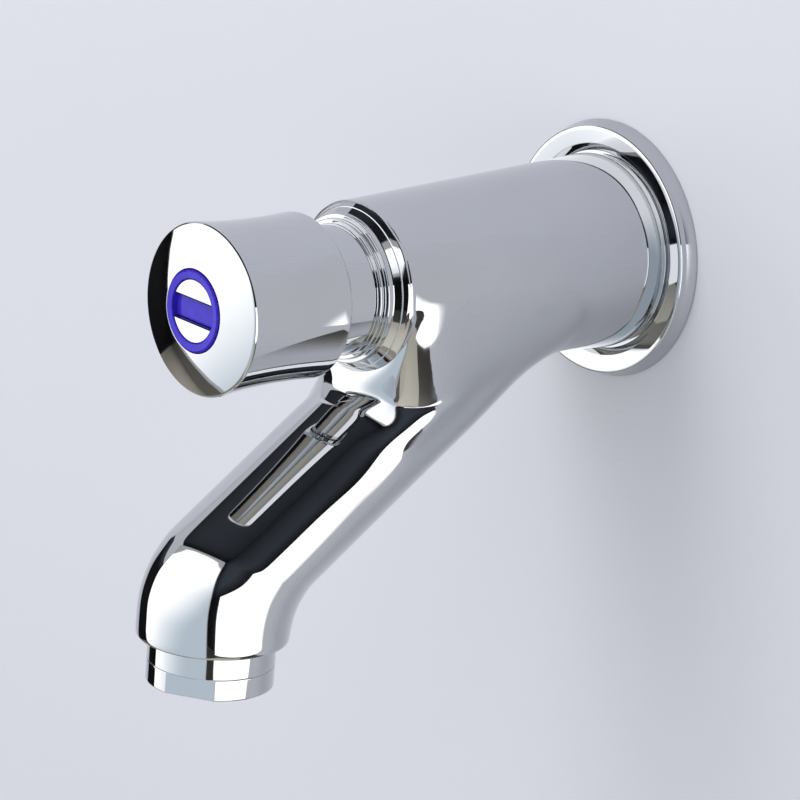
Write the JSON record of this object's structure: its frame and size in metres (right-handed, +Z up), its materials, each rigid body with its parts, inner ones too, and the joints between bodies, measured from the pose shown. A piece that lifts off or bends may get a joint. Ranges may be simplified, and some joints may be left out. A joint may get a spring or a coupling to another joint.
{
  "type": "push timed tap",
  "caption": "Wall-mounted self-closing tap: tapered barrel on a round wall plate, domed push button with a blue index and dial, sloping spout that turns down to an aerator.",
  "frame": {"origin": "where the inlet's axis meets the wall plane", "axes": "+Y into the wall along the inlet, +Z up, +X to the right as seen by the user"},
  "size_m": [0.0504, 0.1229, 0.0976],
  "materials": {
    "chrome": "polished chrome plate",
    "brass": "machined",
    "steel": "bright drawn",
    "rubber": "matte moulded",
    "acetal": "satin moulded",
    "index_blue": "glossy moulded"
  },
  "bodies": {
    "tap_body": {"body_casting": "chrome", "wall_flange": "chrome", "flange_gasket": "rubber", "inlet_nipple": "brass", "inlet_strainer": "steel", "bonnet": "chrome", "bonnet_o_ring": "rubber", "cartridge_sleeve": "brass", "sleeve_o_ring": "rubber", "valve_seat": "brass", "return_spring": "steel", "guide_bush": "acetal", "stem_seal": "rubber", "gland_circlip": "steel", "aerator_housing": "chrome", "aerator_washer": "rubber", "aerator_insert": "acetal", "aerator_screen": "steel"},
    "push_button": {"button_cap": "chrome", "button_stem": "brass", "cap_nut": "brass", "piston": "brass", "piston_seal": "rubber", "piston_clip": "steel", "valve_disc": "rubber", "valve_washer": "brass", "valve_nut": "brass"},
    "timing_dial": {"timing_dial": "chrome", "index_insert": "index_blue", "dial_o_ring": "rubber", "timing_needle": "steel", "needle_key_pin": "steel", "needle_o_ring": "rubber"}
  },
  "joints": [
    {"name": "button_push", "type": "slide", "parent": "tap_body", "child": "push_button", "axis": [0, 1, 0], "range_m": [0, 0.007], "stiffness_N_per_m": 2000, "springref_m": -0.001, "deforming": ["return_spring"]},
    {"name": "timing_turn", "type": "hinge", "parent": "push_button", "child": "timing_dial", "pos_m": [0, -0.1, 0], "axis": [0, 1, 0], "range_deg": [-90, 90]}
  ]
}
